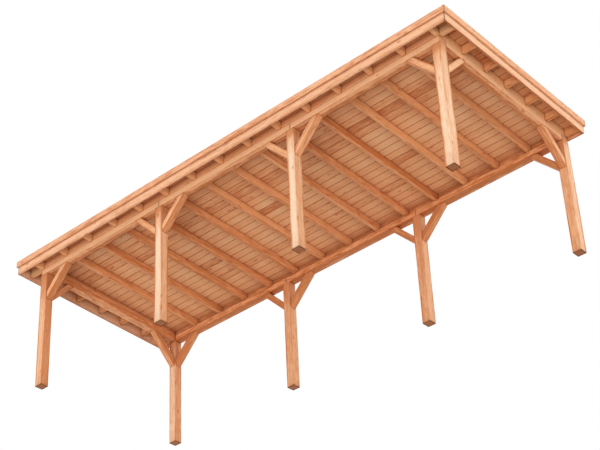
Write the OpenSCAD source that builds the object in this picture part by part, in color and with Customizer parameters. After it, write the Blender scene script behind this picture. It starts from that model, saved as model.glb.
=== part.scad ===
// Timber carport: two rows of braced posts, beams, rafters and a boarded roof
// that falls to the back, edged with a double fascia.

/* [Posts and bays] */
// Width and depth of each square post
post_w = 156; // [120:2:180]
// Eased arris along the posts
post_arris = 5; // [2:1:12]
// Post spacing in each end bay, centre to centre
end_bay = 2940; // [2400:10:3200]
// Post spacing in the middle bay, centre to centre
mid_bay = 3000; // [2400:10:3300]
// Spacing of the two post rows, centre to centre
row_spacing = 3170; // [2600:10:3600]
// Height of the beams' underside midway between the rows
beam_underside = 2170; // [1950:10:2400]

/* [Beams] */
// Thickness of the beams, measured across the row
beam_t = 144; // [120:2:170]
// Height of the beams
beam_h = 114; // [90:2:150]
// Eased arris along the beams
beam_arris = 5; // [2:1:10]

/* [Knee braces] */
// Thickness of the braces, measured across the beam
brace_t = 122; // [70:2:140]
// Depth of the braces, square to their length
brace_depth = 108; // [70:2:130]
// Distance the lower edge drops down the post from the beam
brace_drop = 530; // [400:5:700]
// Distance the lower edge reaches along the beam from the post
brace_reach = 515; // [400:5:700]
// Eased arris along the braces
brace_arris = 8; // [2:1:12]

/* [Roof frame] */
// Fall of the roof towards the back, in degrees
roof_fall = 2.5; // [1:0.1:4]
// Width of the rafters and lookouts
rafter_w = 62; // [46:2:80]
// Height of the rafters, lookouts and blocking
rafter_h = 142; // [110:2:180]
// Eased arris along the rafters and lookouts
rafter_arris = 5; // [1:1:8]
// Rafters in each third of the length
group_rafters = 5; // [4:1:6]
// Lookouts on each short side
lookouts = 7; // [5:1:9]
// Thickness of the blocking between the rafters
blocking_t = 80; // [30:5:100]

/* [Roof edge] */
// Clear soffit past the end beam on the left short side
soffit_left = 323; // [150:1:500]
// Clear soffit past the end beam on the right short side
soffit_right = 273; // [150:1:500]
// Clear soffit past the beam on the front long side
soffit_front = 232; // [60:1:400]
// Clear soffit past the beam on the back long side
soffit_back = 4; // [2:1:300]
// Thickness of the fascia boards
fascia_t = 30; // [20:1:40]
// Height of the fascia's lower edge above the beams' underside
fascia_rise = 58; // [20:2:160]
// Face of the fascia seen below the cover board
fascia_face = 148; // [100:2:200]
// Thickness of the cover boards
cover_t = 28; // [20:1:40]
// Height of the cover boards
cover_h = 118; // [100:2:160]

/* [Roof deck] */
// Thickness of the deck boards
deck_t = 24; // [18:1:32]
// Cover width of the deck boards, laid from the middle outwards
deck_board = 160; // [90:5:220]
// Half width and depth of the V joint between the boards
deck_vee = 6; // [2:1:8]
// Thickness of the roofing sheet on the deck
sheet_t = 5; // [3:1:10]

/* [Fits] */
// Clearance between pieces that meet end to face
fit_gap = 0.3; // [0.2:0.1:1]

/* [Hidden] */

post_colour = [0.88, 0.66, 0.47];
brace_colour = [0.85, 0.61, 0.42];
beam_colour = [0.84, 0.60, 0.42];
frame_colour = [0.72, 0.49, 0.33];
deck_colour = [0.66, 0.44, 0.30];
fascia_colour = [0.92, 0.70, 0.52];
sheet_colour = [0.20, 0.20, 0.21];

// Overshoot of a cutting block past the piece it trims
over = 60;

// Places along the length: the roof is centred on the origin
post_run = 2 * end_bay + mid_bay;
edge_t = fascia_t + cover_t;
roof_l = post_run + beam_t + soffit_left + soffit_right + 2 * edge_t;
grid_x = (soffit_left - soffit_right) / 2;
post_x = [
    grid_x - mid_bay / 2 - end_bay,
    grid_x - mid_bay / 2,
    grid_x + mid_bay / 2,
    grid_x + mid_bay / 2 + end_bay
];
face_left = post_x[0] - beam_t / 2;
face_right = post_x[3] + beam_t / 2;

// Heights in the plane of the roof, measured from the beams' underside
deck_z = beam_h + rafter_h;
sheet_z = deck_z + deck_t;
cover_z = fascia_rise + fascia_face;
edge_top = cover_z + cover_h;

// Places across the roof, measured in its plane
face_y = row_spacing / 2 / cos(roof_fall) + beam_t / 2;
edge_front = -face_y - soffit_front - edge_t;
edge_back = face_y + soffit_back + edge_t;

// Shift across that centres the tilted roof on the origin
front_most = edge_front * cos(roof_fall) + cover_z * sin(roof_fall);
back_most = edge_back * cos(roof_fall) + edge_top * sin(roof_fall);
grid_y = -(front_most + back_most) / 2;
row_front = grid_y - row_spacing / 2;
row_back = grid_y + row_spacing / 2;

// Inside of the fascia, which the deck and rafters run up to
in_left = -roof_l / 2 + edge_t + fit_gap;
in_right = roof_l / 2 - edge_t - fit_gap;
in_front = edge_front + edge_t + fit_gap;
in_back = edge_back - edge_t - fit_gap;

// Spacings
rafters = 3 * group_rafters;
rafter_pitch = (face_right - face_left - rafter_w) / (rafters - 1);
lookout_pitch = (2 * face_y - rafter_w) / (lookouts - 1);
deck_first = -floor((-in_front - 2 * deck_vee) / deck_board);
deck_last = floor((in_back - 2 * deck_vee) / deck_board);

// Knee brace: slope of its lower edge and length of that edge
brace_angle = atan2(brace_drop, brace_reach);
brace_edge = sqrt(brace_drop * brace_drop + brace_reach * brace_reach);

// Rectangular section with its four arrises eased
module eased(w, h, arris) {
    polygon([
        [arris, 0], [w - arris, 0], [w, arris], [w, h - arris],
        [w - arris, h], [arris, h], [0, h - arris], [0, arris]
    ]);
}

// Eased bar along X from x0 to x1, its section starting at y, z
module bar_x(x0, x1, y, z, w, h, arris) {
    translate([x0, y, z])
        rotate([90, 0, 90])
            linear_extrude(x1 - x0)
                eased(w, h, arris);
}

// Eased bar along Y from y0 to y1, its section starting at x, z
module bar_y(y0, y1, x, z, w, h, arris) {
    translate([x, y1, z])
        rotate([90, 0, 0])
            linear_extrude(y1 - y0)
                eased(w, h, arris);
}

// Carries what is drawn in the plane of the roof to its height and fall
module on_roof() {
    translate([0, grid_y, beam_underside])
        rotate([-roof_fall, 0, 0])
            children();
}

// Block above the beams' underside, wide enough to trim one post or brace
module above_beams(x, y, reach) {
    on_roof()
        translate([x - reach, (y - grid_y) / cos(roof_fall) - reach, 0])
            cube([2 * reach, 2 * reach, 2 * reach]);
}

// Beams' underside at a place across the site
function underside(y) = beam_underside - (y - grid_y) * tan(roof_fall);

// Plumb post, its head cut to the fall of the roof
module post(x, y) {
    difference() {
        translate([x - post_w / 2, y - post_w / 2, 0])
            linear_extrude(underside(y) + over)
                eased(post_w, post_w, post_arris);
        above_beams(x, y, post_w);
    }
}

// Knee brace from the post at x, y, turned about the post's axis, its
// feet cut plumb against the post and to the fall against the beam
module brace(x, y, turn) {
    difference() {
        translate([x, y, 0])
            rotate([0, 0, turn])
                difference() {
                    translate([post_w / 2, -brace_t / 2, underside(y) - brace_drop])
                        rotate([0, -brace_angle, 0])
                            bar_x(-brace_depth * 2, brace_edge + brace_depth * 2, 0, 0,
                                brace_t, brace_depth, brace_arris);
                    translate([post_w / 2 - brace_edge, -brace_t, 0])
                        cube([brace_edge, brace_t * 2, beam_underside * 2]);
                }
        above_beams(x, y, brace_edge * 2);
    }
}

module long_beam(x0, x1, y) {
    on_roof()
        bar_x(x0, x1, y, 0, beam_t, beam_h, beam_arris);
}

module end_beam(x) {
    on_roof()
        bar_y(-face_y + beam_t + fit_gap, face_y - beam_t - fit_gap, x, 0,
            beam_t, beam_h, beam_arris);
}

module rafter_group(first) {
    on_roof()
        for (i = [first : first + group_rafters - 1])
            bar_y(in_front, in_back, face_left + i * rafter_pitch, beam_h,
                rafter_w, rafter_h, rafter_arris);
}

module lookout_row(x0, x1) {
    on_roof()
        for (i = [0 : lookouts - 1])
            bar_x(x0, x1, -face_y + i * lookout_pitch, beam_h,
                rafter_w, rafter_h, rafter_arris);
}

module blocking_row(y) {
    on_roof()
        for (i = [0 : rafters - 2])
            translate([face_left + i * rafter_pitch + rafter_w + fit_gap, y, beam_h])
                cube([rafter_pitch - rafter_w - 2 * fit_gap, blocking_t, rafter_h]);
}

// Mitred edge board: its plan runs round the roof at the given inset
module edge_board(side, inset, t, z, h) {
    x0 = -roof_l / 2 + inset;
    x1 = roof_l / 2 - inset;
    y0 = edge_front + inset;
    y1 = edge_back - inset;
    on_roof()
        translate([0, 0, z])
            linear_extrude(h)
                if (side == "front")
                    polygon([[x0, y0], [x1, y0], [x1 - t, y0 + t], [x0 + t, y0 + t]]);
                else if (side == "back")
                    polygon([[x1, y1], [x0, y1], [x0 + t, y1 - t], [x1 - t, y1 - t]]);
                else if (side == "left")
                    polygon([[x0, y1], [x0, y0], [x0 + t, y0 + t], [x0 + t, y1 - t]]);
                else
                    polygon([[x1, y0], [x1, y1], [x1 - t, y1 - t], [x1 - t, y0 + t]]);
}

module fascia(side) {
    edge_board(side, cover_t, fascia_t, fascia_rise, edge_top - fascia_rise);
}

module cover(side) {
    edge_board(side, 0, cover_t, cover_z, cover_h);
}

module post_front_1() { color(post_colour) post(post_x[0], row_front); }
module post_front_2() { color(post_colour) post(post_x[1], row_front); }
module post_front_3() { color(post_colour) post(post_x[2], row_front); }
module post_front_4() { color(post_colour) post(post_x[3], row_front); }
module post_back_1() { color(post_colour) post(post_x[0], row_back); }
module post_back_2() { color(post_colour) post(post_x[1], row_back); }
module post_back_3() { color(post_colour) post(post_x[2], row_back); }
module post_back_4() { color(post_colour) post(post_x[3], row_back); }

module brace_front_1() {
    color(brace_colour) {
        brace(post_x[0], row_front, 0);
        brace(post_x[0], row_front, 90);
    }
}

module brace_front_2() {
    color(brace_colour) {
        brace(post_x[1], row_front, 0);
        brace(post_x[1], row_front, 180);
    }
}

module brace_front_3() {
    color(brace_colour) {
        brace(post_x[2], row_front, 0);
        brace(post_x[2], row_front, 180);
    }
}

module brace_front_4() {
    color(brace_colour) {
        brace(post_x[3], row_front, 180);
        brace(post_x[3], row_front, 90);
    }
}

module brace_back_1() {
    color(brace_colour) {
        brace(post_x[0], row_back, 0);
        brace(post_x[0], row_back, 270);
    }
}

module brace_back_2() {
    color(brace_colour) {
        brace(post_x[1], row_back, 0);
        brace(post_x[1], row_back, 180);
    }
}

module brace_back_3() {
    color(brace_colour) {
        brace(post_x[2], row_back, 0);
        brace(post_x[2], row_back, 180);
    }
}

module brace_back_4() {
    color(brace_colour) {
        brace(post_x[3], row_back, 180);
        brace(post_x[3], row_back, 270);
    }
}

module beam_front_1() { color(beam_colour) long_beam(face_left, post_x[1], -face_y); }
module beam_front_2() { color(beam_colour) long_beam(post_x[1] + fit_gap, post_x[2], -face_y); }
module beam_front_3() { color(beam_colour) long_beam(post_x[2] + fit_gap, face_right, -face_y); }
module beam_back_1() { color(beam_colour) long_beam(face_left, post_x[1], face_y - beam_t); }
module beam_back_2() { color(beam_colour) long_beam(post_x[1] + fit_gap, post_x[2], face_y - beam_t); }
module beam_back_3() { color(beam_colour) long_beam(post_x[2] + fit_gap, face_right, face_y - beam_t); }
module beam_left() { color(beam_colour) end_beam(face_left); }
module beam_right() { color(beam_colour) end_beam(face_right - beam_t); }

module rafters_1() { color(frame_colour) rafter_group(0); }
module rafters_2() { color(frame_colour) rafter_group(group_rafters); }
module rafters_3() { color(frame_colour) rafter_group(2 * group_rafters); }

module lookouts_left() { color(frame_colour) lookout_row(in_left, face_left - fit_gap); }
module lookouts_right() { color(frame_colour) lookout_row(face_right + fit_gap, in_right); }

module blocking_front() { color(frame_colour) blocking_row(-face_y); }
module blocking_back() { color(frame_colour) blocking_row(face_y - blocking_t); }

// Deck of boards along the length, the joints between them cut as a V below
module roof_deck() {
    color(deck_colour)
        on_roof()
            difference() {
                translate([in_left, in_front, deck_z])
                    cube([in_right - in_left, in_back - in_front, deck_t]);
                for (i = [deck_first : deck_last])
                    translate([in_left - over, i * deck_board, deck_z])
                        rotate([90, 0, 90])
                            linear_extrude(in_right - in_left + 2 * over)
                                polygon([
                                    [-2 * deck_vee, -deck_vee],
                                    [2 * deck_vee, -deck_vee],
                                    [0, deck_vee]
                                ]);
            }
}

module roof_sheet() {
    color(sheet_colour)
        on_roof()
            translate([in_left, in_front, sheet_z])
                cube([in_right - in_left, in_back - in_front, sheet_t]);
}

module fascia_front() { color(fascia_colour) fascia("front"); }
module fascia_back() { color(fascia_colour) fascia("back"); }
module fascia_left() { color(fascia_colour) fascia("left"); }
module fascia_right() { color(fascia_colour) fascia("right"); }

module cover_front() { color(fascia_colour) cover("front"); }
module cover_back() { color(fascia_colour) cover("back"); }
module cover_left() { color(fascia_colour) cover("left"); }
module cover_right() { color(fascia_colour) cover("right"); }

post_front_1();
post_front_2();
post_front_3();
post_front_4();
post_back_1();
post_back_2();
post_back_3();
post_back_4();
brace_front_1();
brace_front_2();
brace_front_3();
brace_front_4();
brace_back_1();
brace_back_2();
brace_back_3();
brace_back_4();
beam_front_1();
beam_front_2();
beam_front_3();
beam_back_1();
beam_back_2();
beam_back_3();
beam_left();
beam_right();
rafters_1();
rafters_2();
rafters_3();
lookouts_left();
lookouts_right();
blocking_front();
blocking_back();
roof_deck();
roof_sheet();
fascia_front();
fascia_back();
fascia_left();
fascia_right();
cover_front();
cover_back();
cover_left();
cover_right();
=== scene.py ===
import math
import random
import bpy
from mathutils import Matrix, Vector


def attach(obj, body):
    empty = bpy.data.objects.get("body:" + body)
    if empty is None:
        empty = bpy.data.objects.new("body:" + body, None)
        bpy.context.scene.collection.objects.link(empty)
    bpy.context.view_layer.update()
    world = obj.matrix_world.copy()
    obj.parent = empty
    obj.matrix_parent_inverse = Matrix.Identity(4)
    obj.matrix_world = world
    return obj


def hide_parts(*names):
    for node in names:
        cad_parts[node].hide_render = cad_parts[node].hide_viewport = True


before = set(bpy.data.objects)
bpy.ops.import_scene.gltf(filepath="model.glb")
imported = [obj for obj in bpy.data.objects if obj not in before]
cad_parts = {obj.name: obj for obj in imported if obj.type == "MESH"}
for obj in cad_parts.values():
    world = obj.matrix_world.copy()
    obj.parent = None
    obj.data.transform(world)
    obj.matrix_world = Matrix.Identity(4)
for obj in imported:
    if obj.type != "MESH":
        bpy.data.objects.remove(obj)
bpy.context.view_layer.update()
scene = bpy.context.scene
scene.view_settings.view_transform = "Standard"

# Sizes of the part, in metres
POST_W, POST_ARRIS = 0.156, 0.005
END_BAY, MID_BAY, ROW = 2.940, 3.000, 3.170
UNDERSIDE = 2.170
BEAM_T, BEAM_H, BEAM_ARRIS = 0.144, 0.114, 0.005
BRACE_T, BRACE_DEPTH, BRACE_ARRIS = 0.122, 0.108, 0.008
BRACE_DROP, BRACE_REACH = 0.530, 0.515
FALL = math.radians(2.5)
RAFTER_W, RAFTER_H, RAFTER_ARRIS = 0.062, 0.142, 0.005
RAFTERS, GROUPS, LOOKOUTS = 15, 3, 7
BLOCK_T, BLOCK_ARRIS = 0.080, 0.001
SOFFIT_L, SOFFIT_R, SOFFIT_F, SOFFIT_B = 0.323, 0.273, 0.232, 0.004
FASCIA_T, FASCIA_RISE, FASCIA_FACE = 0.030, 0.058, 0.148
COVER_T, COVER_H = 0.028, 0.118
EDGE_ARRIS, MITRE_SEAM = 0.003, 0.0008
DECK_T, DECK_BOARD, DECK_VEE, DECK_ARRIS, DECK_GAP = 0.024, 0.160, 0.006, 0.001, 0.0004
FIT = 0.0003

# Length of the stain that end grain leaves on a timber's faces, on a long beam, an end beam and an edge board
STAIN, JOINT_STAIN, END_STAIN, MITRE_STAIN = 0.012, 0.018, 0.030, 0.025
# How far the pith may lie from the middle of a post, of a beam or brace, of a frame timber and of a board
POST_PITH, BEAM_PITH, FRAME_PITH, BOARD_PITH = 0.02, 0.03, 0.06, 0.12
# Range of the shift along the grain that gives each timber a figure of its own
GRAIN_RANGE = 60

# Places that follow from the sizes
COS, SIN = math.cos(FALL), math.sin(FALL)
EDGE_T = FASCIA_T + COVER_T
ROOF_L = 2 * END_BAY + MID_BAY + BEAM_T + SOFFIT_L + SOFFIT_R + 2 * EDGE_T
GRID_X = (SOFFIT_L - SOFFIT_R) / 2
POST_X = [GRID_X + k for k in (-MID_BAY / 2 - END_BAY, -MID_BAY / 2, MID_BAY / 2, MID_BAY / 2 + END_BAY)]
FACE_L, FACE_R = POST_X[0] - BEAM_T / 2, POST_X[3] + BEAM_T / 2
DECK_Z = BEAM_H + RAFTER_H
SHEET_Z = DECK_Z + DECK_T
COVER_Z = FASCIA_RISE + FASCIA_FACE
EDGE_TOP = COVER_Z + COVER_H
FACE_Y = ROW / 2 / COS + BEAM_T / 2
BETWEEN = FACE_Y - BEAM_T - FIT
EDGE_F = -FACE_Y - SOFFIT_F - EDGE_T
EDGE_B = FACE_Y + SOFFIT_B + EDGE_T
GRID_Y = -((EDGE_F * COS + COVER_Z * SIN) + (EDGE_B * COS + EDGE_TOP * SIN)) / 2
ROW_Y = {"front": GRID_Y - ROW / 2, "back": GRID_Y + ROW / 2}
IN_L, IN_R = -ROOF_L / 2 + EDGE_T + FIT, ROOF_L / 2 - EDGE_T - FIT
IN_F, IN_B = EDGE_F + EDGE_T + FIT, EDGE_B - EDGE_T - FIT
RAFTER_PITCH = (FACE_R - FACE_L - RAFTER_W) / (RAFTERS - 1)
LOOKOUT_PITCH = (2 * FACE_Y - RAFTER_W) / (LOOKOUTS - 1)
BRACE_ANGLE = math.atan2(BRACE_DROP, BRACE_REACH)

X_AXIS, Y_AXIS, Z_AXIS = Vector((1, 0, 0)), Vector((0, 1, 0)), Vector((0, 0, 1))
ROOF_Y = Vector((0, COS, -SIN))
ROOF_Z = Vector((0, SIN, COS))
ROOF_O = Vector((0, GRID_Y, UNDERSIDE))


def on_roof(x, y, z):
    return ROOF_O + X_AXIS * x + ROOF_Y * y + ROOF_Z * z


def underside(y):
    return UNDERSIDE - (y - GRID_Y) * math.tan(FALL)


# Timber: bars with rounded arrises that carry their own grain coordinates

def rounded(w, h, r, steps=3):
    points = []
    for cx, cy, a0 in ((r, r, 180), (w - r, r, 270), (w - r, h - r, 0), (r, h - r, 90)):
        for k in range(steps + 1):
            a = math.radians(a0 + 90 * k / steps)
            points.append((cx + r * math.cos(a), cy + r * math.sin(a)))
    return points


def square(u):
    """End of a timber cut square at the place u along it."""
    return lambda v, w: u


class Timbers:
    """Timbers of one piece; each carries its grain, its section and its end stain as mesh attributes."""

    def __init__(self, seed):
        self.rng = random.Random(seed)
        self.verts, self.faces, self.cut, self.groove = [], [], [], []
        self.grain, self.sect, self.tone, self.stain = [], [], [], []

    def bar(self, origin, along, across, up, section, start, end, pith, tone, grooves=(), stain=STAIN,
            tail=None):
        """Bar from start to end; tail is where its first length ends, with the tones of that length."""
        rng = self.rng
        # a spare draw that keeps the draws after it in their order
        rng.random()
        tones = tone if isinstance(tone, tuple) else (tone,) * 4
        vs, ws = [p[0] for p in section], [p[1] for p in section]
        v0, w0 = (min(vs) + max(vs)) / 2, (min(ws) + max(ws)) / 2
        hv, hw = (max(vs) - min(vs)) / 2, (max(ws) - min(ws)) / 2
        du = rng.uniform(0, GRAIN_RANGE)
        dv, dw = rng.uniform(-pith, pith), rng.uniform(-pith, pith)
        base, n = len(self.verts), len(section)
        # each ring: its face, its shift along the bar, how dark its stain is, and the tones that follow it
        rings = [(start, 0.0, 1.0, tones), (start, stain, 0.0, tones),
                 (end, -stain, 0.0, tones), (end, 0.0, 1.0, tones)]
        if tail:
            reach, tail_tones = tail
            rings[:2] = [(start, 0.0, 1.0, tail_tones), (start, stain, 0.0, tail_tones),
                         (square(reach), 0.0, 0.0, tones)]
        for face, shift, dark, _ in rings:
            for v, w in section:
                u = face(v, w) + shift
                self.verts.append(origin + along * u + across * v + up * w)
                self.grain.append((u + du, v - v0 + dv, w - w0 + dw))
                self.sect.append(((v - v0) / hv, (w - w0) / hw, u))
                self.stain.append(dark)
        for k in range(len(rings) - 1):
            a, b = base + k * n, base + (k + 1) * n
            for i in range(n):
                j = (i + 1) % n
                self.faces.append((a + i, a + j, b + j, b + i))
                self.cut.append(0.0)
                self.groove.append(1.0 if i in grooves else 0.0)
                self.tone.append(rings[k][3][4 * i // n])
        last = base + (len(rings) - 1) * n
        self.faces.append(tuple(base + i for i in reversed(range(n))))
        self.faces.append(tuple(last + i for i in range(n)))
        self.cut += [1.0, 1.0]
        self.groove += [0.0, 0.0]
        self.tone += [tones[0], tones[0]]

    def make(self, name, material, nodes):
        mesh = bpy.data.meshes.new(name)
        mesh.from_pydata(self.verts, [], self.faces)
        mesh.materials.append(material)
        for key, kind, domain, data in (("grain", "FLOAT_VECTOR", "POINT", self.grain),
                                        ("sect", "FLOAT_VECTOR", "POINT", self.sect),
                                        ("tone", "FLOAT", "FACE", self.tone),
                                        ("stain", "FLOAT", "POINT", self.stain),
                                        ("cut", "FLOAT", "FACE", self.cut),
                                        ("groove", "FLOAT", "FACE", self.groove)):
            layer = mesh.attributes.new(key, kind, domain)
            if kind == "FLOAT":
                layer.data.foreach_set("value", data)
            else:
                layer.data.foreach_set("vector", [c for p in data for c in p])
        piece = bpy.data.objects.new(name, mesh)
        scene.collection.objects.link(piece)
        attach(piece, "root")
        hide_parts(*nodes)


# Materials

class Tree:
    """Node tree of a material or of the world, with a short call for each kind of node."""

    def __init__(self, owner):
        owner.use_nodes = True
        self.nt = owner.node_tree
        self.nt.nodes.clear()

    def node(self, kind, **sockets):
        made = self.nt.nodes.new(kind)
        for key, value in sockets.items():
            self.put(made, key, value)
        return made

    def put(self, node, key, value):
        # a key such as _2 is a socket's number, any other key is its name
        socket = node.inputs[int(key[1:]) if key.startswith("_") else key.replace("_", " ")]
        if isinstance(value, bpy.types.NodeSocket):
            self.nt.links.new(value, socket)
        else:
            socket.default_value = value

    def attr(self, name, output="Fac"):
        made = self.node("ShaderNodeAttribute")
        made.attribute_name = name
        return made.outputs[output]

    def math(self, operation, a, b=0.0, clamp=False):
        made = self.node("ShaderNodeMath")
        made.operation = operation
        made.use_clamp = clamp
        self.put(made, "_0", a)
        self.put(made, "_1", b)
        return made.outputs[0]

    def plus(self, a, b, clamp=False):
        return self.math("ADD", a, b, clamp)

    def times(self, a, b):
        return self.math("MULTIPLY", a, b)

    def vector(self, operation, a, b=(0.0, 0.0, 0.0), output="Vector"):
        made = self.node("ShaderNodeVectorMath")
        made.operation = operation
        self.put(made, "_0", a)
        self.put(made, "_1", b)
        return made.outputs[output]

    def axes(self, vector):
        return self.node("ShaderNodeSeparateXYZ", Vector=vector).outputs

    def noise(self, vector, scale, detail, rough):
        made = self.node("ShaderNodeTexNoise", Vector=vector, Scale=scale, Detail=detail, Roughness=rough)
        return made.outputs[0]

    def pattern(self, vector, stretch, detail=2.0, rough=0.6):
        return self.noise(self.vector("MULTIPLY", vector, stretch), 1.0, detail, rough)

    def ramp(self, value, low, high, out_low=0.0, out_high=1.0):
        made = self.node("ShaderNodeMapRange", _0=value, _1=low, _2=high, _3=out_low, _4=out_high)
        made.interpolation_type = "SMOOTHSTEP"
        return made.outputs[0]

    def mix(self, factor, a, b, blend="MIX"):
        made = self.node("ShaderNodeMix")
        made.data_type = "RGBA"
        made.blend_type = blend
        made.clamp_factor = True
        for key, value in (("_0", factor), ("_6", a), ("_7", b)):
            self.put(made, key, value)
        return made.outputs[2]

    def seen(self):
        """1 for the rays that see the background as it is: camera, glossy and transmission rays."""
        path = self.node("ShaderNodeLightPath").outputs
        mirrored = self.math("MAXIMUM", path["Is Glossy Ray"], path["Is Transmission Ray"])
        return self.math("MAXIMUM", path["Is Camera Ray"], mirrored)

    def surface(self, colour, rough, relief, strength, depth, gloss):
        bump = self.node("ShaderNodeBump", Strength=strength, Distance=depth, Height=relief)
        shader = self.node("ShaderNodeBsdfPrincipled", Base_Color=colour, Roughness=rough,
                           Normal=bump.outputs[0], Specular_IOR_Level=gloss)
        self.node("ShaderNodeOutputMaterial", Surface=shader.outputs[0])


def srgb(r, g, b):
    def linear(c):
        c /= 255.0
        return c / 12.92 if c <= 0.04045 else ((c + 0.055) / 1.055) ** 2.4
    return (linear(r), linear(g), linear(b), 1.0)


# How often each pattern of the wood changes per metre along, across and up the grain
SLOW, FLAME, MOTTLE = (0.7, 2.5, 2.5), (0.9, 19.0, 19.0), (6.0, 42.0, 42.0)
STREAK, FIBRE, FLECK = (1.6, 75.0, 75.0), (12.0, 700.0, 700.0), (20.0, 80.0, 80.0)
KNOT, PATCH = (5.0, 11.0, 11.0), (1.4, 9.0, 9.0)
# How far the fibres wander, in metres, growth rings per metre and how many rings they waver by
WANDER, RINGS, WAVER = 0.03, 190.0, 3.0
# Draw from which on a cell holds a knot, and the reach of the knot's heart and of its halo in the cell
KNOT_BAND, HEART_REACH, HALO_REACH = (0.70, 0.72), (0.14, 0.07), (0.36, 0.12)
# How much flame, mottle and streak move the colour, and the halo of a knot
FLAME_PULL, MOTTLE_PULL, STREAK_PULL, HALO_PULL = 1.5, 2.0, 1.0, 0.25
# Heights between which the top of a post and the last of it deepen in colour, in metres, as painted shade
# under the roof
HEAD_RISE, NECK_RISE, NECK_SHARE = (1.5, 2.2), (2.0, 2.15), 0.6
# Shares of late wood, flecks, knots, late wood on end grain, and grooves in the colour
LATE_SHARE, FLECK_SHARE, KNOT_SHARE, END_SHARE, GROOVE_SHARE = 0.15, 0.40, 0.60, 0.55, 0.85
# How bright late wood is on end grain beside the rest of it
END_DARK = 0.6
# Shade of a timber of middling tone, and the shades over which pale goes to mid and mid to deep
MID_TONE, MID_SHADE, PALE_TO_MID, MID_TO_DEEP = 0.5, 0.45, (0.0, 0.5), (0.45, 1.0)
# Values of the noises over which flecks, late wood and worn patches set in
FLECK_BAND, LATE_BAND, PATCH_BAND, STREAK_BAND = (0.64, 0.76), (0.45, 0.95), (0.38, 0.56), (0.7, 1.2)
PATCH_LEAST, STREAK_LEAST = 0.25, 0.45
# Places in a section, from -1 to 1, where an underside, its inner half and a post's front and back set in
BELOW_BAND, INNER_BAND, FACING_BAND = (-0.85, -1.0), (-0.25, 0.15), (-0.1, 0.1)
# The same for the brown band beside an arris and the line on it, and how a place leans to the front right
# arris
ARRIS_BAND, LINE_BAND, FRONT_BAND = (0.50, 0.92), (0.93, 1.0), (-2.0, -0.6)
# Openness over which a corner goes from open to closed, from none of the painted shade to all of it
OPEN_TO_CLOSED = (1.0, 0.15)
# Roughness of planed wood over its streaks, how strong and deep its relief is, and its gloss
STREAKS, ROUGH, RELIEF, RELIEF_DEPTH, GLOSS = (0.2, 0.8), (0.52, 0.72), 0.35, 0.0008, 0.25
LATE_RISE, FIBRE_RISE, KNOT_RISE = 0.4, 0.5, -0.6

GRIME, RUST, GROOVE = srgb(118, 56, 24), srgb(208, 118, 62), srgb(160, 58, 12)
FLECK_BROWN, KNOT_BROWN = srgb(176, 98, 54), srgb(150, 80, 42)
# End grain colours: the posts' ends deeper, their own end grain darkened with painted shade under the feet;
# other cut ends paler
FOOT_END_SHADE, CUT_END = srgb(168, 98, 50), srgb(236, 172, 124)
# Tints of the painted shade in corners, in joints and under the eaves; the reach of the joints' painted shade
# and its samples
CORNER_SHADE, CREASE_SHADE, EAVES_SHADE = (0.60, 0.46, 0.36, 1.0), (0.42, 0.26, 0.16, 1.0), (0.36, 0.16, 0.04, 1.0)
CREASE_REACH, CORNER_SAMPLES = 0.04, 6
# How far in metres, how much and to what tint the painted shade darkens each kind of timber towards inner
# corners
SOME, LITTLE, FAINT = (0.40, 0.4, CORNER_SHADE), (0.40, 0.2, CORNER_SHADE), (0.16, 0.32, CORNER_SHADE)
BELOW_DECK, BESIDE_EAVE = (0.30, 0.5, CORNER_SHADE), (0.25, 0.18, CORNER_SHADE)
MUCH, BEHIND_FASCIA = (0.30, 0.70, EAVES_SHADE), (0.16, 0.6, EAVES_SHADE)


def fibres(tree, grain):
    """Noises along fibres that wander slowly, and the late wood of the growth rings about the pith."""
    slow = tree.node("ShaderNodeTexNoise", Vector=tree.vector("MULTIPLY", grain, SLOW), Scale=1.0, Detail=1.0)
    aside = tree.vector("SUBTRACT", slow.outputs["Color"], (0.5, 0.5, 0.5))
    bent = tree.vector("ADD", grain, tree.vector("MULTIPLY", aside, (WANDER, WANDER, WANDER)))
    flame = tree.pattern(bent, FLAME, detail=3.0)
    mottle, streak, fibre = [tree.pattern(bent, stretch) for stretch in (MOTTLE, STREAK, FIBRE)]
    fleck = tree.ramp(tree.pattern(bent, FLECK, detail=1.0, rough=0.5), *FLECK_BAND)
    radius = tree.vector("LENGTH", tree.vector("MULTIPLY", bent, (0.0, 1.0, 1.0)), output="Value")
    ring = tree.plus(tree.times(radius, RINGS), tree.times(slow.outputs["Fac"], WAVER))
    late = tree.ramp(tree.math("FRACT", ring), *LATE_BAND)
    return flame, mottle, streak, fibre, fleck, late


def knots(tree, grain):
    """Dark hearts of the knots and the warm halos about them."""
    cell = tree.node("ShaderNodeTexVoronoi", Vector=tree.vector("MULTIPLY", grain, KNOT), Scale=1.0)
    drawn = tree.node("ShaderNodeSeparateColor", Color=cell.outputs["Color"]).outputs[0]
    pick = tree.ramp(drawn, *KNOT_BAND)
    away = cell.outputs["Distance"]
    return [tree.times(tree.ramp(away, *reach), pick) for reach in (HEART_REACH, HALO_REACH)]


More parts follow.
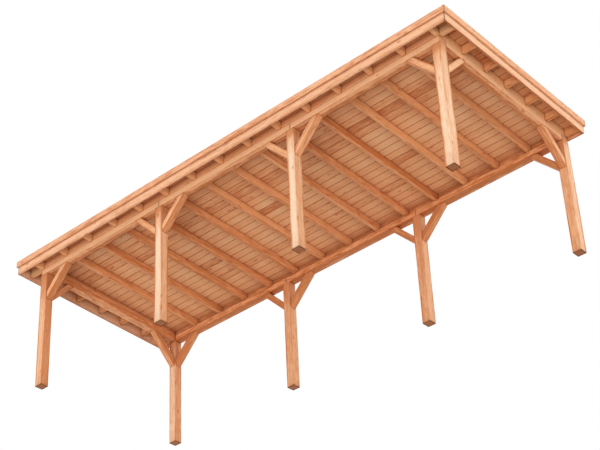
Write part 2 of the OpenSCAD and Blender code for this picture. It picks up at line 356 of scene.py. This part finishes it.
def depth_of(tree, place, near, patterns, halo, spread, figure, split, head_shade):
    """How far the colour goes from sapwood to heartwood, with painted shade on post heads and in the tones
    listed face by face.
    """
    shade = tree.plus(tree.times(tree.attr("tone"), spread), MID_SHADE - MID_TONE * spread)
    for value, pull in zip(patterns, (FLAME_PULL, MOTTLE_PULL, STREAK_PULL)):
        shade = tree.plus(shade, tree.times(tree.math("SUBTRACT", value, 0.5), pull * figure))
    shade = tree.plus(shade, tree.times(halo, HALO_PULL))
    # the inner half of an underside is deeper
    below = tree.ramp(place[1], *BELOW_BAND)
    shade = tree.plus(shade, tree.times(tree.ramp(place[0], *INNER_BAND, 0.0, split), below))
    # painted shade: post heads deepen towards the roof on their front and back faces, and all round at the
    # very top
    front_or_back = tree.ramp(tree.math("SUBTRACT", near[1], near[0]), *FACING_BAND)
    shade = tree.plus(shade, tree.times(tree.ramp(place[2], *HEAD_RISE, 0.0, head_shade), front_or_back))
    return tree.plus(shade, tree.ramp(place[2], *NECK_RISE, 0.0, NECK_SHARE * head_shade), clamp=True)


def darker_arrises(tree, colour, grain, place, near, streaks, edge, front, line):
    """Rust brown beside the arrises, in patches, with a darker line on each, both less at the front right
    arris.
    """
    corner = tree.math("MINIMUM", near[0], near[1])
    patch = tree.ramp(tree.pattern(grain, PATCH, rough=0.5), *PATCH_BAND, PATCH_LEAST, 1.0)
    patchy = tree.times(patch, tree.ramp(streaks, *STREAK_BAND, STREAK_LEAST, 1.0))
    lean = tree.math("SUBTRACT", place[1], place[0])
    edges = tree.ramp(lean, *FRONT_BAND, front * edge, edge)
    arris_brown = tree.times(tree.times(tree.ramp(corner, *ARRIS_BAND), patchy), edges)
    arris = tree.times(tree.times(tree.ramp(corner, *LINE_BAND), line), edges)
    return tree.mix(arris, tree.mix(arris_brown, colour, RUST), FLECK_BROWN)


def corners(tree, colour, hollow, crease, shadow_lean):
    """Painted shade: the colour darkens towards inner corners and in joints, leaning as shadow_lean gives."""
    normal = tree.node("ShaderNodeNewGeometry").outputs["Normal"]
    facing = tree.vector("NORMALIZE", tree.vector("ADD", normal, shadow_lean))
    for reach, amount, tint in (hollow, (CREASE_REACH, crease, CREASE_SHADE)):
        occlusion = tree.node("ShaderNodeAmbientOcclusion", Distance=reach, Normal=facing)
        occlusion.samples = CORNER_SAMPLES
        closed = tree.ramp(occlusion.outputs["AO"], *OPEN_TO_CLOSED, 0.0, amount)
        colour = tree.mix(closed, colour, tint, "MULTIPLY")
    return colour


def wood(name, pale, mid, deep, end, spread, figure, edge, hollow, crease=0.8, split=0.0, stain=0.7,
         head_shade=0.0, line=0.6, front=1.0, shadow_lean=(0.0, 0.0, 0.0)):
    """Planed wood that goes from pale to deep with a timber's tone, and has the colour end on end grain.

    spread is the pull of the tone and figure that of the grain; edge is how far the arrises go rust brown,
    front its share at the front right arris and line that of the arrises' own line; hollow and crease paint
    shade into corners and joints, and shadow_lean leans that painted shade to one side; split deepens the
    inner half of an underside, stain the ends and head_shade paints shade on the heads of posts, towards the
    roof.
    """
    material = bpy.data.materials.new(name)
    tree = Tree(material)
    grain, sect = tree.attr("grain", "Vector"), tree.attr("sect", "Vector")
    flame, mottle, streak, fibre, fleck, late = fibres(tree, grain)
    heart, halo = knots(tree, grain)
    place, near = tree.axes(sect), tree.axes(tree.vector("ABSOLUTE", sect))
    shade = depth_of(tree, place, near, (flame, mottle, streak), halo, spread, figure, split, head_shade)
    colour = tree.mix(tree.ramp(shade, *PALE_TO_MID), pale, mid)
    colour = tree.mix(tree.ramp(shade, *MID_TO_DEEP), colour, deep)
    colour = tree.mix(tree.times(late, LATE_SHARE), colour, deep)
    colour = darker_arrises(tree, colour, grain, place, near, tree.plus(streak, mottle), edge, front, line)
    colour = tree.mix(tree.times(fleck, FLECK_SHARE), colour, FLECK_BROWN)
    colour = tree.mix(tree.times(heart, KNOT_SHARE), colour, KNOT_BROWN)
    colour = tree.mix(tree.times(tree.attr("stain"), stain), colour, GRIME)
    late_end = tuple(c * END_DARK for c in end[:3]) + (1.0,)
    ends = tree.mix(tree.times(late, END_SHARE), end, late_end)
    colour = tree.mix(tree.attr("cut"), colour, ends)
    # painted shade in corners and joints
    colour = corners(tree, colour, hollow, crease, shadow_lean)
    colour = tree.mix(tree.times(tree.attr("groove"), GROOVE_SHARE), colour, GROOVE)
    # raised late wood and fibres, sunken knots
    fine = tree.plus(tree.times(fibre, FIBRE_RISE), tree.times(heart, KNOT_RISE))
    relief = tree.plus(tree.times(late, LATE_RISE), fine)
    tree.surface(colour, tree.ramp(streak, *STREAKS, *ROUGH), relief, RELIEF, RELIEF_DEPTH, GLOSS)
    return material


# Colours of the felt between its grit, of the grit, of dust, of a faded strip and of bitumen
FELT_DARK, FELT_GRIT, FELT_DUST = srgb(44, 45, 48), srgb(92, 93, 97), srgb(104, 102, 98)
FELT_FADED, BITUMEN = srgb(112, 112, 114), srgb(24, 24, 26)
# How often grit and dust change per metre, and the share of dust and of fading in the colour
GRIT_SCALE, DUST_STRETCH, DUST_SCALE = 420.0, (0.7, 1.6, 1.0), 1.4
DUST_SHARE, FADED_SHARE, FELT_ROUGH = 0.3, 0.35, (0.82, 0.95)


def roofing():
    """Gritted felt, each strip a little paler or darker, with bitumen along the laps."""
    material = bpy.data.materials.new("roofing_felt")
    tree = Tree(material)
    place = tree.attr("grain", "Vector")
    grit = tree.noise(place, GRIT_SCALE, detail=2.0, rough=0.7)
    dust = tree.noise(tree.vector("MULTIPLY", place, DUST_STRETCH), DUST_SCALE, detail=3.0, rough=0.6)
    colour = tree.mix(tree.ramp(grit, 0.35, 0.68), FELT_DARK, FELT_GRIT)
    colour = tree.mix(tree.times(tree.ramp(dust, 0.35, 0.7), DUST_SHARE), colour, FELT_DUST)
    colour = tree.mix(tree.times(tree.attr("tone"), FADED_SHARE), colour, FELT_FADED)
    colour = tree.mix(tree.times(tree.attr("groove"), GROOVE_SHARE), colour, BITUMEN)
    tree.surface(colour, tree.ramp(dust, 0.3, 0.7, *FELT_ROUGH), grit, strength=0.5, depth=0.001, gloss=0.5)
    return material


BEAM_COLOURS = srgb(255, 204, 156), srgb(247, 181, 131), srgb(198, 118, 64), CUT_END
POST = wood("post_wood", srgb(246, 215, 182), srgb(238, 184, 140), srgb(212, 141, 93), FOOT_END_SHADE,
            spread=1.0, figure=0.5, edge=1.6, hollow=SOME, stain=0.35, head_shade=0.55, line=0.4, front=0.35)
BRACE = wood("brace_wood", srgb(252, 204, 158), srgb(232, 166, 118), srgb(196, 126, 78), CUT_END,
             spread=1.0, figure=0.7, edge=1.2, hollow=SOME)
BEAM = wood("beam_wood", *BEAM_COLOURS, spread=1.0, figure=0.6, edge=0.1, hollow=LITTLE, split=0.35)
# The end and back beams are the beam wood again, with more painted shade in corners below the deck
END_BEAM = wood("end_beam_wood", *BEAM_COLOURS, spread=1.0, figure=0.6, edge=0.1, hollow=BELOW_DECK)
BACK_BEAM = wood("back_beam_wood", *BEAM_COLOURS, spread=1.0, figure=0.6, edge=0.1, hollow=BELOW_DECK,
                 split=0.35)
FRAME = wood("frame_wood", srgb(249, 199, 147), srgb(240, 175, 122), srgb(199, 120, 66), CUT_END,
             spread=1.0, figure=0.45, edge=0.15, hollow=FAINT, crease=0.65)
LOOKOUT = wood("lookout_wood", srgb(240, 192, 142), srgb(232, 170, 118), srgb(192, 116, 64), CUT_END,
               spread=1.0, figure=0.45, edge=0.15, hollow=BESIDE_EAVE, crease=0.65)
BLOCK = wood("blocking_wood", srgb(254, 198, 146), srgb(246, 175, 121), srgb(176, 110, 66), CUT_END,
             spread=1.0, figure=0.5, edge=0.6, hollow=FAINT, crease=0.45)
# The deck's painted shade leans so that it falls darker near the front beam and left of each rafter, a
# painted shadow
DECK = wood("deck_wood", srgb(251, 200, 150), srgb(248, 187, 135), srgb(204, 123, 73), CUT_END,
            spread=1.0, figure=0.45, edge=0.0, hollow=MUCH, shadow_lean=(0.35, -0.60, 0.0))
FASCIA = wood("fascia_wood", srgb(253, 214, 177), srgb(246, 192, 151), srgb(176, 104, 60), CUT_END,
              spread=0.35, figure=0.40, edge=0.6, hollow=BEHIND_FASCIA, crease=0.6, stain=0.75)
COVER = wood("cover_wood", srgb(244, 190, 148), srgb(231, 169, 125), srgb(194, 120, 76), CUT_END,
             spread=0.35, figure=1.0, edge=0.6, hollow=LITTLE, stain=0.5, line=0.5)
FELT = roofing()

# Posts, plumb, heads cut to the fall
# Tones of each post's faces: front, right, back, left; besides the posts' own tone they paint light and
# shade: the right faces deeper the further left a post stands, and the back posts' front faces deeper than
# most front ones
POST_TONE = {"front": ((0.62, 1.00, 0.6, 0.5), (0.15, 0.65, 0.5, 0.4),
                       (0.02, 0.52, 0.5, 0.4), (0.22, 0.35, 0.5, 0.5)),
             "back": ((0.35, 0.80, 0.4, 0.3), (0.65, 0.70, 0.4, 0.5),
                      (0.75, 0.55, 0.4, 0.5), (0.70, 0.38, 0.4, 0.5))}


def post(node, x, y, tones):
    half = POST_W / 2
    timber = Timbers(node)
    timber.bar(Vector((x - half, y - half, 0)), Z_AXIS, X_AXIS, Y_AXIS, rounded(POST_W, POST_W, POST_ARRIS),
               square(0.0), lambda v, w: underside(y - half + w), POST_PITH, tones)
    timber.make(node + "_timber", POST, [node])


for row, y in ROW_Y.items():
    for i, x in enumerate(POST_X, 1):
        post("post_%s_%d" % (row, i), x, y, POST_TONE[row][i - 1])

# Knee braces, feet cut plumb and heads cut to the fall
# Way each brace points, in degrees from +x, with the tones of its lower face and of its sides; besides the
# braces' own tone these carry painted light and shade, the back braces' sides deepest
BRACES = {("front", 1): ((0, 1.10, 0.35), (90, 0.68, 0.62)),
          ("front", 2): ((0, 0.82, 0.36), (180, 0.50, 0.52)),
          ("front", 3): ((0, 0.64, 0.44), (180, -0.2, 0.38)),
          ("front", 4): ((180, 0.25, 0.46), (90, 0.00, -0.1)),
          ("back", 1): ((0, 0.92, 0.97), (270, 0.72, 1.00)),
          ("back", 2): ((0, 0.84, 0.95), (180, 0.60, 0.90)),
          ("back", 3): ((0, 0.77, 1.17), (180, 0.75, 0.93)),
          ("back", 4): ((180, 0.65, 0.97), (270, 0.90, 0.35))}
BRACE_TOP_TONE = 0.5


def brace(timber, x, y, turn, low_tone, side_tone):
    out = Vector((round(math.cos(math.radians(turn))), round(math.sin(math.radians(turn))), 0))
    side = Vector((-out.y, out.x, 0))
    along = out * math.cos(BRACE_ANGLE) + Z_AXIS * math.sin(BRACE_ANGLE)
    up = Z_AXIS * math.cos(BRACE_ANGLE) - out * math.sin(BRACE_ANGLE)
    height = underside(y) - BRACE_DROP
    foot = Vector((x, y, 0)) + out * (POST_W / 2) - side * (BRACE_T / 2) + Z_AXIS * height

    def plumb(v, w):
        return w * math.tan(BRACE_ANGLE)

    def to_fall(v, w):
        p = foot + side * v + up * w
        # where the line p + along * u meets the plane of the beams' underside
        return -(p - ROOF_O).dot(ROOF_Z) / along.dot(ROOF_Z)

    timber.bar(foot, along, side, up, rounded(BRACE_T, BRACE_DEPTH, BRACE_ARRIS), plumb, to_fall, BEAM_PITH,
               (low_tone, side_tone, BRACE_TOP_TONE, side_tone))


for row, y in ROW_Y.items():
    for i, x in enumerate(POST_X, 1):
        node = "brace_%s_%d" % (row, i)
        timber = Timbers(node)
        for turn, low_tone, side_tone in BRACES[row, i]:
            brace(timber, x, y, turn, low_tone, side_tone)
        timber.make(node + "_timber", BRACE, [node])


# Bars that lie in the roof frame, along it and across it

def bar_x(timber, x0, x1, y, z, section, pith, tone, grooves=(), stain=STAIN):
    timber.bar(on_roof(0, y, z), X_AXIS, ROOF_Y, ROOF_Z, section, square(x0), square(x1), pith, tone,
               grooves, stain)


def bar_y(timber, y0, y1, x, z, section, pith, tone, tail=None, stain=STAIN):
    # across is +x reversed so that along, across and up stay right-handed
    width = max(p[0] for p in section)
    timber.bar(on_roof(x + width, 0, z), ROOF_Y, -X_AXIS, ROOF_Z, section, square(y0), square(y1), pith, tone,
               stain=stain, tail=tail)


# Beams, the undersides and the back ones deeper in colour, as painted shade
# Tones of each beam's underside, inner side, top and outer side; the outer sides of the front and right beams
# palest, painted light
BEAM_TONE = {"front": (0.58, 0.6, 0.5, 0.02), "back": (0.95, 0.78, 0.5, 0.5),
             "left": (0.74, 0.88, 0.3, 0.3), "right": (0.65, 0.6, 0.3, 0.02)}
BEAM_ENDS = ((FACE_L, POST_X[1]), (POST_X[1] + FIT, POST_X[2]), (POST_X[2] + FIT, FACE_R))
BEAM_SECTION = rounded(BEAM_T, BEAM_H, BEAM_ARRIS)
for row, material in (("front", BEAM), ("back", BACK_BEAM)):
    for i, (x0, x1) in enumerate(BEAM_ENDS, 1):
        node = "beam_%s_%d" % (row, i)
        timber = Timbers(node)
        if row == "front":
            bar_x(timber, x0, x1, -FACE_Y, 0, BEAM_SECTION, BEAM_PITH, BEAM_TONE[row], stain=JOINT_STAIN)
        else:
            timber.bar(on_roof(0, FACE_Y, 0), -X_AXIS, -ROOF_Y, ROOF_Z, BEAM_SECTION, square(-x1),
                       square(-x0), BEAM_PITH, BEAM_TONE[row], stain=JOINT_STAIN)
        timber.make(node + "_timber", material, [node])
timber = Timbers("beam_left")
timber.bar(on_roof(FACE_L, 0, 0), -ROOF_Y, X_AXIS, ROOF_Z, BEAM_SECTION, square(-BETWEEN), square(BETWEEN),
           BEAM_PITH, BEAM_TONE["left"], stain=END_STAIN)
timber.make("beam_left_timber", END_BEAM, ["beam_left"])
timber = Timbers("beam_right")
bar_y(timber, -BETWEEN, BETWEEN, FACE_R - BEAM_T, 0, BEAM_SECTION, BEAM_PITH, BEAM_TONE["right"],
      stain=END_STAIN)
timber.make("beam_right_timber", BEAM, ["beam_right"])

# Rafters, in groups, their tails in front of the front beam paler, painted light under the eaves
# Tones of each rafter's underside and right side, and of its other two sides, listed rafter by rafter: partly
# the rafters' own tone, partly painted light and shade
RAFTER_TONE = ((0.40, 0.63), (0.78, 0.75), (0.78, 0.76), (0.95, 0.72), (0.86, 0.80),
               (0.90, 0.72), (0.80, 0.48), (0.80, 0.55), (0.57, 0.72), (0.78, 0.74),
               (0.70, 0.98), (0.65, 0.54), (0.83, 0.58), (0.70, 0.50), (0.65, 0.00))
RAFTER_SIDE_TONE = 0.5
# Tones of the tails, paler as painted light under the eaves
TAIL_TONE = (0.45, 0.30, 0.5, 0.1)
RAFTER_SECTION = rounded(RAFTER_W, RAFTER_H, RAFTER_ARRIS)
IN_GROUP = RAFTERS // GROUPS
for k in range(GROUPS):
    node = "rafters_%d" % (k + 1)
    timber = Timbers("rafters%d" % k)
    for i in range(k * IN_GROUP, (k + 1) * IN_GROUP):
        low_tone, right_tone = RAFTER_TONE[i]
        tones = (low_tone, RAFTER_SIDE_TONE, RAFTER_SIDE_TONE, right_tone)
        bar_y(timber, IN_F, IN_B, FACE_L + i * RAFTER_PITCH, BEAM_H, RAFTER_SECTION, FRAME_PITH, tones,
              (-FACE_Y, TAIL_TONE))
    timber.make(node + "_timber", FRAME, [node])

# Lookouts at both ends
# Tones of each lookout's underside and front side, and of its other two sides; the first lookout's front side
# palest, painted light behind the front fascia
LOOKOUT_TONE = ((0.45, -0.30), (0.80, 0.60), (0.85, 0.90), (0.70, 0.55),
                (0.80, 0.60), (0.80, 0.58), (0.70, 0.75))
LOOKOUT_SIDE_TONE = 0.4
for side, x0, x1 in (("left", IN_L, FACE_L - FIT), ("right", FACE_R + FIT, IN_R)):
    node = "lookouts_" + side
    timber = Timbers("lookouts" + side)
    for i, (low_tone, front_tone) in enumerate(LOOKOUT_TONE):
        tones = (low_tone, LOOKOUT_SIDE_TONE, LOOKOUT_SIDE_TONE, front_tone)
        bar_x(timber, x0, x1, -FACE_Y + i * LOOKOUT_PITCH, BEAM_H, RAFTER_SECTION, FRAME_PITH, tones)
    timber.make(node + "_timber", LOOKOUT, [node])

# Blocking between the rafters, on the long beams
# The back blocking deeper, painted shade under the back of the deck
BLOCK_TONE, BLOCK_TONE_RANGE = {"front": 0.2, "back": 0.85}, 0.2
BLOCK_SECTION = rounded(BLOCK_T, RAFTER_H, BLOCK_ARRIS, steps=1)
for row, y in (("front", -FACE_Y), ("back", FACE_Y - BLOCK_T)):
    node = "blocking_" + row
    timber = Timbers("blocking" + row)
    for i in range(RAFTERS - 1):
        x0 = FACE_L + i * RAFTER_PITCH + RAFTER_W + FIT
        x1 = x0 + RAFTER_PITCH - RAFTER_W - 2 * FIT
        tone = BLOCK_TONE[row] + BLOCK_TONE_RANGE * timber.rng.random()
        bar_x(timber, x0, x1, y, BEAM_H, BLOCK_SECTION, FRAME_PITH, tone)
    timber.make(node + "_timber", BLOCK, [node])

# Deck: V-jointed boards along the length, butted over the rafters
# A few lengths between two rafters, named by board and bay, are redder or paler than the rest
ODD_TONES = {(-1, 6): 0.85, (2, 10): 0.85, (-4, 2): 0.8, (2, 3): 0.75, (-2, 6): 0.15,
             (-1, 10): 0.1, (-3, 10): 0.15, (5, 9): 0.75, (-5, 9): 0.7, (-2, 3): 0.15}
# Boards that lie towards the front and the back are redder, painted shade beside the long beams, strongest
# towards the front
ROW_TONES = {-7: 0.15, -6: 0.38, -5: 0.32, -4: 0.22, -3: 0.10, 4: 0.08, 5: 0.08, 6: 0.10, 7: 0.06}
BOARD_TONE, BOARD_TONE_RANGE = 0.20, 0.38
# Share of the rafters that a board has a butt joint over, and the faces of its section that make the V joints
BUTT_SHARE, VEE_FACES = 0.4, (1, 5)
first = -math.floor((-IN_F - 2 * DECK_VEE) / DECK_BOARD)
last = math.floor((IN_B - 2 * DECK_VEE) / DECK_BOARD)
joints = [IN_F] + [k * DECK_BOARD for k in range(first, last + 1)] + [IN_B]
timber = Timbers("deck")
for board, (y0, y1) in enumerate(zip(joints, joints[1:]), first - 1):
    v0 = DECK_GAP / 2 if y0 > IN_F else 0.0
    v1 = y1 - y0 - (DECK_GAP / 2 if y1 < IN_B else 0.0)
    vee0 = DECK_VEE if y0 > IN_F else DECK_ARRIS
    vee1 = DECK_VEE if y1 < IN_B else DECK_ARRIS
    section = [(v0 + vee0, 0), (v1 - vee1, 0), (v1, vee1), (v1, DECK_T), (v0, DECK_T), (v0, vee0)]
    butts = {k for k in range(1, RAFTERS - 1) if timber.rng.random() < BUTT_SHARE}
    odd = {bay + d for row, bay in ODD_TONES if row == board for d in (0, 1)}
    stops = sorted(butts | odd)
    ends = [IN_L] + [FACE_L + k * RAFTER_PITCH + RAFTER_W / 2 for k in stops] + [IN_R]
    for bay, x0, x1 in zip([0] + stops, ends, ends[1:]):
        drawn = BOARD_TONE + BOARD_TONE_RANGE * timber.rng.random() + ROW_TONES.get(board, 0.0)
        tone = ODD_TONES.get((board, bay), drawn)
        bar_x(timber, x0, x1 - DECK_GAP * (x1 < IN_R), y0, DECK_Z, section, BOARD_PITH, tone, VEE_FACES)
timber.make("roof_deck_boards", DECK, ["roof_deck"])

# Roofing felt: strips along the length, each lapping the one below it, bitumen squeezed out along the laps
LAP, PLY, BLEED, BLEED_FACES = 0.09, 0.0024, 0.018, (3, 4)
# Run of a strip's step up onto the next one, how much sooner its top steps up, and the air between the two
STEP_RUN, STEP_LEAD, STEP_AIR = 0.012, 0.004, 0.0001
# Tone of each strip, and how far the pattern of its grit may be shifted sideways
STRIP_TONE, GRIT_SHIFT = (0.35, 0.75, 0.15, 0.55), 0.03
STRIPS = len(STRIP_TONE)
width = (IN_B - IN_F) / STRIPS
lap_end, lap_under, lap_top = width + LAP, PLY + STEP_AIR, 2 * PLY
lapping = [(0, 0), (width - STEP_RUN, 0), (width, lap_under), (lap_end, lap_under), (lap_end, lap_top),
           (lap_end - BLEED, lap_top), (width - STEP_LEAD, lap_top),
           (width - STEP_LEAD - STEP_RUN, PLY), (0, PLY)]
flat = [(0, 0), (width, 0), (width, PLY), (0, PLY)]
timber = Timbers("sheet")
for k, tone in enumerate(STRIP_TONE):
    section, bleed = (lapping, BLEED_FACES) if k < STRIPS - 1 else (flat, ())
    bar_x(timber, IN_L, IN_R, IN_F + k * width, SHEET_Z, section, GRIT_SHIFT, tone, bleed)
timber.make("roof_sheet_felt", FELT, ["roof_sheet"])

# Fascia and cover boards, mitred at the corners
# Tones of each fascia board's underside, inner side, top and outer side, and of each cover board
# The undersides of the right, back and left fascia boards are deep, painted shade, and the left board's inner
# side pale, painted light
FASCIA_TONE = {"front": (0.8, 0.8, 0.8, 0.79), "right": (2.0, 0.2, 0.2, 0.2),
               "back": (2.0, 0.8, 0.8, 0.8), "left": (2.2, -0.4, 0.6, 0.6)}
COVER_TONE = {"front": 0.54, "right": 0.07, "back": 0.67, "left": 0.40}


def edge_board(name, node, material, side, inset, thick, z, high, tone):
    x0, x1 = -ROOF_L / 2 + inset, ROOF_L / 2 - inset
    y0, y1 = EDGE_F + inset, EDGE_B - inset
    origin, along, across, length = {"front": (on_roof(x0, y0, z), X_AXIS, ROOF_Y, x1 - x0),
                                     "right": (on_roof(x1, y0, z), ROOF_Y, -X_AXIS, y1 - y0),
                                     "back": (on_roof(x1, y1, z), -X_AXIS, -ROOF_Y, x1 - x0),
                                     "left": (on_roof(x0, y1, z), -ROOF_Y, X_AXIS, y1 - y0)}[side]
    timber = Timbers(node)
    timber.bar(origin, along, across, ROOF_Z, rounded(thick, high, EDGE_ARRIS, steps=2),
               lambda v, w: v + MITRE_SEAM, lambda v, w: length - v - MITRE_SEAM, BOARD_PITH, tone,
               stain=MITRE_STAIN)
    timber.make(name, material, [node])


for side in ("front", "back", "left", "right"):
    edge_board("fascia_%s_board" % side, "fascia_" + side, FASCIA, side, COVER_T, FASCIA_T, FASCIA_RISE,
               EDGE_TOP - FASCIA_RISE, FASCIA_TONE[side])
    edge_board("cover_%s_board" % side, "cover_" + side, COVER, side, 0.0, COVER_T, COVER_Z, COVER_H,
               COVER_TONE[side])


def direction(azimuth, elevation):
    """Way towards a place, with the azimuth counted from the front towards the right."""
    level = math.cos(elevation)
    return Vector((math.sin(azimuth) * level, -math.cos(azimuth) * level, math.sin(elevation)))


# Camera at the photograph's angle, a little wider and lower so that the left back post shows down to its foot
IMAGE_W, SENSOR, FOCAL_PX, CLIP_END = 600.0, 36.0, 1589.9, 200.0
EYE = Vector((14.595, -16.685, -13.0885))
AZIMUTH, ELEVATION, ROLL = (math.radians(v) for v in (40.58, -34.021, -2.924))
forward = -direction(AZIMUTH, ELEVATION)
level_right = forward.cross(Z_AXIS).normalized()
level_up = level_right.cross(forward)
right = level_right * math.cos(ROLL) + level_up * math.sin(ROLL)
upward = level_up * math.cos(ROLL) - level_right * math.sin(ROLL)
camera = bpy.data.objects.new("camera", bpy.data.cameras.new("camera"))
camera.data.sensor_fit = "HORIZONTAL"
camera.data.sensor_width = SENSOR
camera.data.lens = FOCAL_PX / IMAGE_W * SENSOR
camera.data.clip_end = CLIP_END
turn = Matrix((right, upward, -forward)).transposed().to_4x4()
camera.matrix_world = Matrix.Translation(EYE) @ turn
scene.collection.objects.link(camera)
scene.camera = camera

# World: an even white sky above the horizon and a dimmer one below it that reaches only the posts' feet
SKY, BELOW, HORIZON = 0.88, 0.38, 0.02
WHITE = (1.0, 1.0, 1.0, 1.0)
world = bpy.data.worlds.new("studio")
scene.world = world
tree = Tree(world)
rise = tree.axes(tree.node("ShaderNodeTexCoord").outputs["Generated"])["Z"]
level = tree.node("ShaderNodeMapRange", _0=rise, _1=-HORIZON, _2=HORIZON, _3=BELOW, _4=SKY)
glow = tree.node("ShaderNodeBackground", Color=WHITE, Strength=level.outputs[0])
white = tree.node("ShaderNodeBackground", Color=WHITE)
blend = tree.node("ShaderNodeMixShader", _0=tree.seen(), _1=glow.outputs[0], _2=white.outputs[0])
tree.node("ShaderNodeOutputWorld", Surface=blend.outputs[0])

# Lamps: broad and low, to shine in under the roof
# They light the object alone: the floor neither takes nor stops their light
# Azimuth, elevation, energy and spread of each, angles in degrees
LAMPS = {"low_front": (22.0, -26.0, 1.7, 40.0), "right": (95.0, -10.0, 0.8, 40.0),
         "low_back": (220.0, -10.0, 0.7, 60.0)}
off_floor = bpy.data.collections.new("off_floor")
for name, (azimuth, elevation, energy, spread) in LAMPS.items():
    lamp = bpy.data.lights.new(name, "SUN")
    lamp.energy = energy
    lamp.angle = math.radians(spread)
    source = direction(math.radians(azimuth), math.radians(elevation))
    holder = bpy.data.objects.new(name, lamp)
    holder.rotation_euler = (-source).to_track_quat("-Z", "Y").to_euler()
    holder.light_linking.receiver_collection = off_floor
    holder.light_linking.blocker_collection = off_floor
    scene.collection.objects.link(holder)

# Floor: pale from above, open under the posts, and clear when looked at from below
FLOOR, FLOOR_LIP = 40.0, 0.012
FLOOR_SEEN, FLOOR_GLOW = (0.92, 0.92, 0.92, 1.0), (0.52, 0.50, 0.48, 1.0)
HOLE = POST_W / 2 - FLOOR_LIP
xs = sorted([-FLOOR, FLOOR] + [x + d for x in POST_X for d in (-HOLE, HOLE)])
ys = sorted([-FLOOR, FLOOR] + [y + d for y in ROW_Y.values() for d in (-HOLE, HOLE)])
verts = [(x, y, 0.0) for y in ys for x in xs]
faces = []
for j in range(len(ys) - 1):
    for i in range(len(xs) - 1):
        mx, my = (xs[i] + xs[i + 1]) / 2, (ys[j] + ys[j + 1]) / 2
        if any(abs(mx - x) < HOLE and abs(my - y) < HOLE for x in POST_X for y in ROW_Y.values()):
            continue
        k = j * len(xs) + i
        faces.append((k, k + 1, k + 1 + len(xs), k + len(xs)))
mesh = bpy.data.meshes.new("floor")
mesh.from_pydata(verts, [], faces)
floor = bpy.data.objects.new("floor", mesh)
scene.collection.objects.link(floor)
material = bpy.data.materials.new("floor")
tree = Tree(material)
matt = tree.node("ShaderNodeBsdfDiffuse", Color=tree.mix(tree.seen(), FLOOR_GLOW, FLOOR_SEEN))
clear = tree.node("ShaderNodeBsdfTransparent")
behind = tree.node("ShaderNodeNewGeometry").outputs["Backfacing"]
both = tree.node("ShaderNodeMixShader", _0=behind, _1=matt.outputs[0], _2=clear.outputs[0])
tree.node("ShaderNodeOutputMaterial", Surface=both.outputs[0])
mesh.materials.append(material)
off_floor.objects.link(floor)
for entry in off_floor.collection_objects:
    entry.light_linking.link_state = "EXCLUDE"
